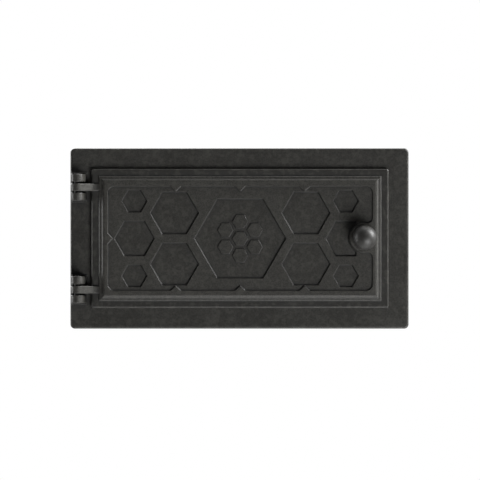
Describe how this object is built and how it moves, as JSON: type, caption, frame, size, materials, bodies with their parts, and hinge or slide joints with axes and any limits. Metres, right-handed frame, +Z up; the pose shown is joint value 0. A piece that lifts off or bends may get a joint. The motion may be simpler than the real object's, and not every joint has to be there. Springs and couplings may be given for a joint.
{
  "type": "cast iron stove door",
  "caption": "Cast iron door for a masonry stove: flanged frame with a collar, relief leaf on pinned hinges, ball knob turning a latch cam.",
  "frame": {"origin": "centre of the opening in the plane of the flange's back face, which lies on the wall", "axes": "+X to the right as seen from the room, toward the knob; +Y into the wall; +Z up"},
  "size_m": [0.3, 0.0627, 0.16],
  "materials": {
    "frame_iron": "fine sand cast skin, stove blacked, matt",
    "leaf_iron": "fine sand cast skin, stove blacked, matt with lighter arrises",
    "knob_iron": "smoothed and blacked, soft sheen",
    "cam_iron": "bare casting, dull",
    "pin_steel": "blackened steel, drawn",
    "spindle_steel": "turned steel",
    "spring_steel": "blued spring steel",
    "zinc_steel": "dull zinc"
  },
  "bodies": {
    "frame": {"frame": "frame_iron", "upper_hinge_pin": "pin_steel", "lower_hinge_pin": "pin_steel"},
    "leaf": {"door_leaf": "leaf_iron"},
    "latch": {"latch_knob": "knob_iron", "latch_spindle": "spindle_steel", "spring_washer": "spring_steel", "latch_cam": "cam_iron", "cam_washer": "zinc_steel", "cam_nut": "zinc_steel"}
  },
  "joints": [
    {"name": "leaf_hinge", "type": "hinge", "parent": "frame", "child": "leaf", "pos_m": [-0.1438, -0.0155, 0], "axis": [0, 0, -1], "range_deg": [0, 170]},
    {"name": "latch_turn", "type": "hinge", "parent": "leaf", "child": "latch", "pos_m": [0.1106, -0.0135, 0.0006], "axis": [0, -1, 0], "range_deg": [0, 90]}
  ]
}
